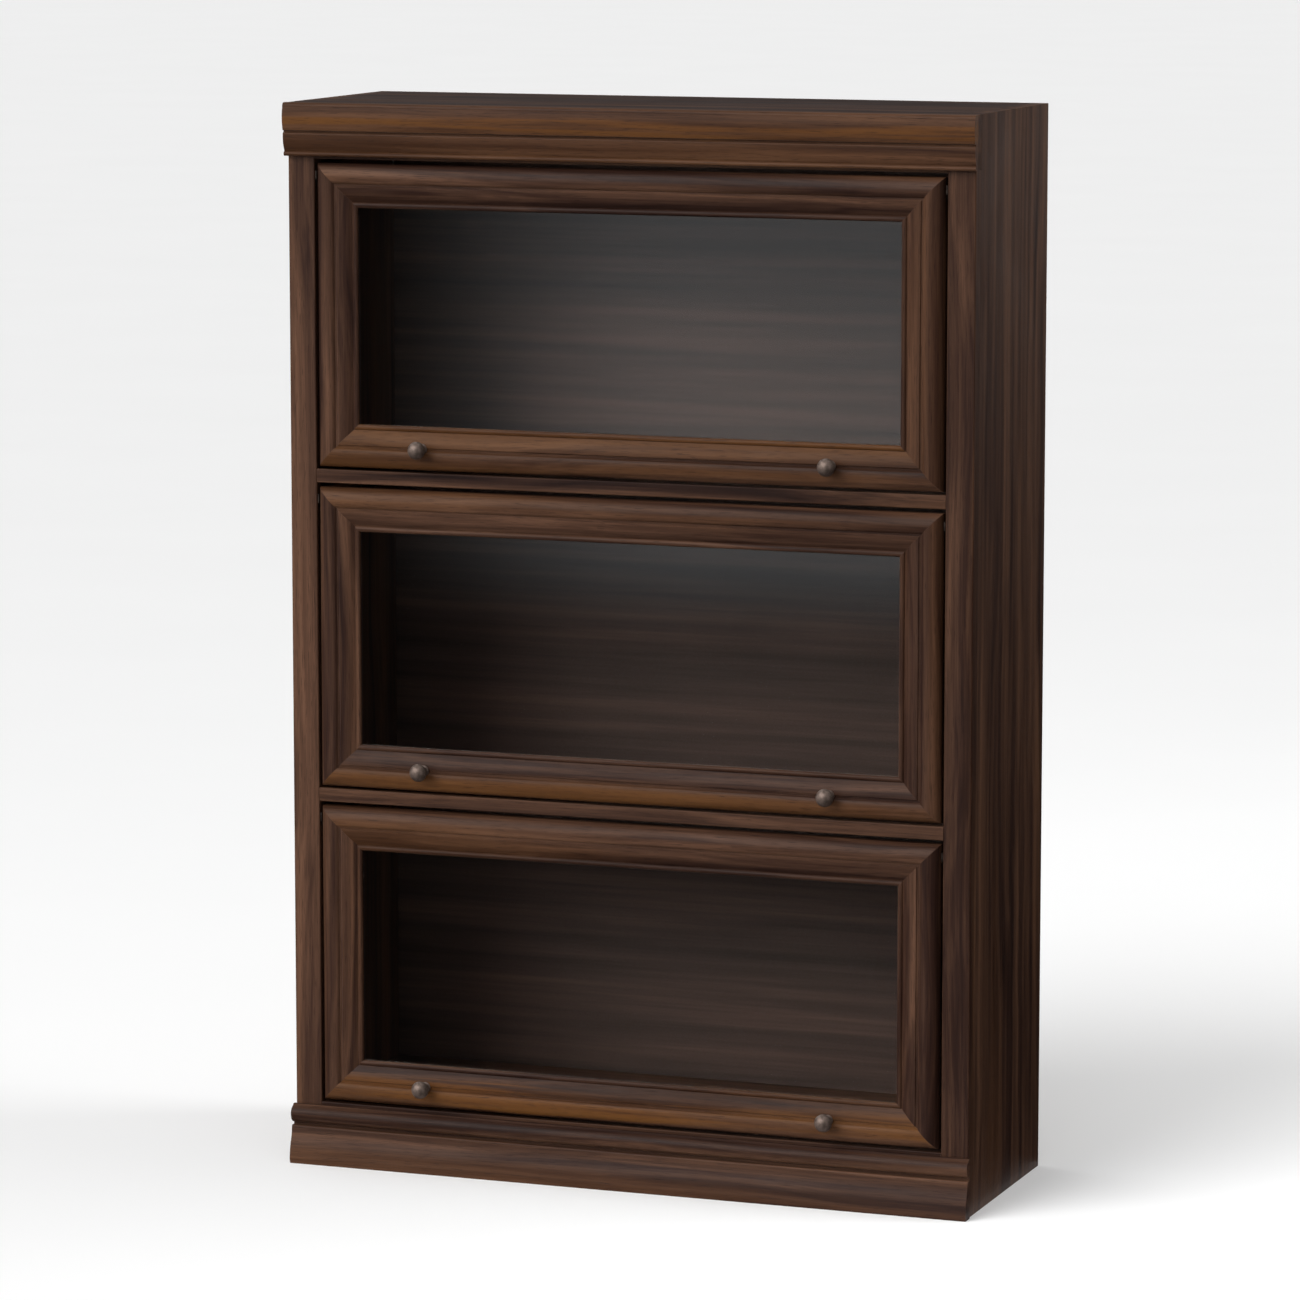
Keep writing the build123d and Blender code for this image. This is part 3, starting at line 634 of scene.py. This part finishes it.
# ------------------------------------------------------------------ studio


def make_camera():
    """The photograph's viewpoint, with no shift."""
    data = bpy.data.cameras.new("camera")
    data.lens = CAMERA_LENS
    data.sensor_width = SENSOR
    data.clip_start = 0.1
    data.clip_end = 200.0
    camera = bpy.data.objects.new("camera", data)
    camera.location = CAMERA_PLACE
    camera.rotation_euler = (math.pi / 2 - CAMERA_PITCH, 0, CAMERA_YAW)
    bpy.context.scene.collection.objects.link(camera)
    bpy.context.scene.camera = camera


def sheet(name, points, faces, material):
    """A flat mesh in the scene, with its material."""
    mesh = bpy.data.meshes.new(name)
    mesh.from_pydata(points, [], faces)
    mesh.materials.append(material)
    made = bpy.data.objects.new(name, mesh)
    bpy.context.scene.collection.objects.link(made)
    return made


def make_floor():
    """A large pale floor with a faint, even mottle."""
    made, tree, shader = new_material("floor", Roughness=0.85, Specular_IOR_Level=0.1)
    mottle = noise(tree, place(tree), MOTTLE, detail=2.0)
    tree.links.new(ramp(tree, mottle, greys(FLOOR_TONES)), shader.inputs["Base Color"])
    half = FLOOR_HALF
    corners = [(-half, -half, 0), (half, -half, 0), (half, half, 0), (-half, half, 0)]
    floor = sheet("floor", corners, [(0, 1, 2, 3)], made)


def make_card():
    """A dark card on the floor that only bounced light sees, a painted dark reflection, so that the wood
    and panes stay deep.

    Far in front and to the left it glows pale, though it is no lamp, which paints the soft grey reflection
    on the upper panes.
    """
    points = [(x, y, CARD_RISE) for x, y in CARD_RING + CARD_HOLE]
    faces = [(k, (k + 1) % 4, 4 + (k + 1) % 4, 4 + k) for k in range(4)]
    card = sheet("card", points, faces, card_material())
    card.visible_camera = False
    card.visible_shadow = False


def card_material():
    """A faint glow in mirror-like bounces, painted reflection from a part that is no lamp; a dark flag of
    painted shade to soft ones beside the case; and else clear.
    """
    made, tree, shader = new_material("card", Roughness=0.9, Specular_IOR_Level=0.0)
    spot = split(tree, place(tree))
    ahead = times(tree, spot[1], -1.0)
    # Painted shade: the flag's dark colour, seen by soft bounces
    tree.links.new(ramp(tree, ahead, CARD_PAINTED_SHADE), shader.inputs["Base Color"])
    # Painted reflection: the card's glow, dark, and pale in the far front-left corner
    painted_reflection = ramp(tree, painted_sheen_corner(tree, spot, ahead), ((0.0, CARD_PAINTED_DARK), (1.0, CARD_PAINTED_SHEEN)))
    painted_glow = add(tree, "ShaderNodeEmission", {"Color": painted_reflection, "Strength": 1.0})
    clear = add(tree, "ShaderNodeBsdfTransparent")

    path = add(tree, "ShaderNodeLightPath").outputs
    upper_face = maths(tree, "SUBTRACT", 1.0, add(tree, "ShaderNodeNewGeometry").outputs["Backfacing"])
    mirrored = times(tree, upper_face, maths(tree, "GREATER_THAN", path["Glossy Depth"], 0.5))
    scattered = times(tree, upper_face, maths(tree, "GREATER_THAN", path["Diffuse Depth"], 0.5))
    # Painted shade: beside the case the card is a dark flag to soft bounces, which darkens the object's
    # right side
    beside = times(tree, scattered, spread(tree, spot[0], *PAINTED_SHADE_EDGE))
    painted_shade_flag = blend(tree, beside, clear, shader)
    # Mirror-like bounces from above see the painted reflection; soft ones beside the case see the painted
    # shade of the flag
    show(tree, blend(tree, mirrored, painted_shade_flag, painted_glow))
    made.cycles.emission_sampling = "NONE"
    return made


def painted_sheen_corner(tree, spot, ahead):
    """1 on the part of the card far in front and to the left, with soft edges, where its glow paints the
    pale grey reflection.
    """
    pivot_x, pivot_y = SHEEN_PIVOT
    slope = maths(tree, "DIVIDE", maths(tree, "SUBTRACT", pivot_x, spot[0]),
                  maths(tree, "SUBTRACT", pivot_y, spot[1]))
    return times(tree, spread(tree, slope, *SHEEN_SLOPES), spread(tree, ahead, *SHEEN_AHEAD))


def make_surround():
    """Soft light from all round, brightest from the front left, and plain white to the camera."""
    world = bpy.data.worlds.new("studio")
    bpy.context.scene.world = world
    world.use_nodes = True
    tree = world.node_tree
    way = add(tree, "ShaderNodeTexCoord").outputs["Generated"]
    toward = BRIGHT_WAY.normalized()
    facing = add(tree, "ShaderNodeVectorMath", {0: way, 1: toward}, operation="DOT_PRODUCT")
    glow = ramp(tree, spread(tree, facing.outputs["Value"], -0.9, 0.9), greys(SURROUND_TONES))
    straight = add(tree, "ShaderNodeLightPath").outputs["Is Camera Ray"]
    sky = tree.nodes["Background"]
    tree.links.new(mix(tree, straight, glow, (1.0, 1.0, 1.0)), sky.inputs["Color"])
    sky.inputs["Strength"].default_value = SURROUND_STRENGTH


def make_lights():
    """One broad light from the front left, and a soft one for the right side."""
    data = bpy.data.lights.new("key", "SUN")
    data.energy = KEY_ENERGY
    data.angle = math.radians(KEY_SPREAD)
    key = bpy.data.objects.new("key", data)
    key.rotation_euler = (math.radians(KEY_TILT), 0, math.radians(KEY_TURN))
    bpy.context.scene.collection.objects.link(key)
    data = bpy.data.lights.new("side_fill", "AREA")
    data.energy = FILL_ENERGY
    data.size = FILL_SIZE
    fill = bpy.data.objects.new("side_fill", data)
    fill.location = FILL_PLACE
    fill.rotation_euler = (FILL_PLACE - FILL_AIM).to_track_quat("Z", "Y").to_euler()
    fill.visible_camera = False
    bpy.context.scene.collection.objects.link(fill)


# ------------------------------------------------------------------ scene

make_camera()
dress_case()
dress_doors()
dress_fittings()
make_floor()
make_card()
make_surround()
make_lights()
bpy.context.scene.view_settings.view_transform = "Standard"
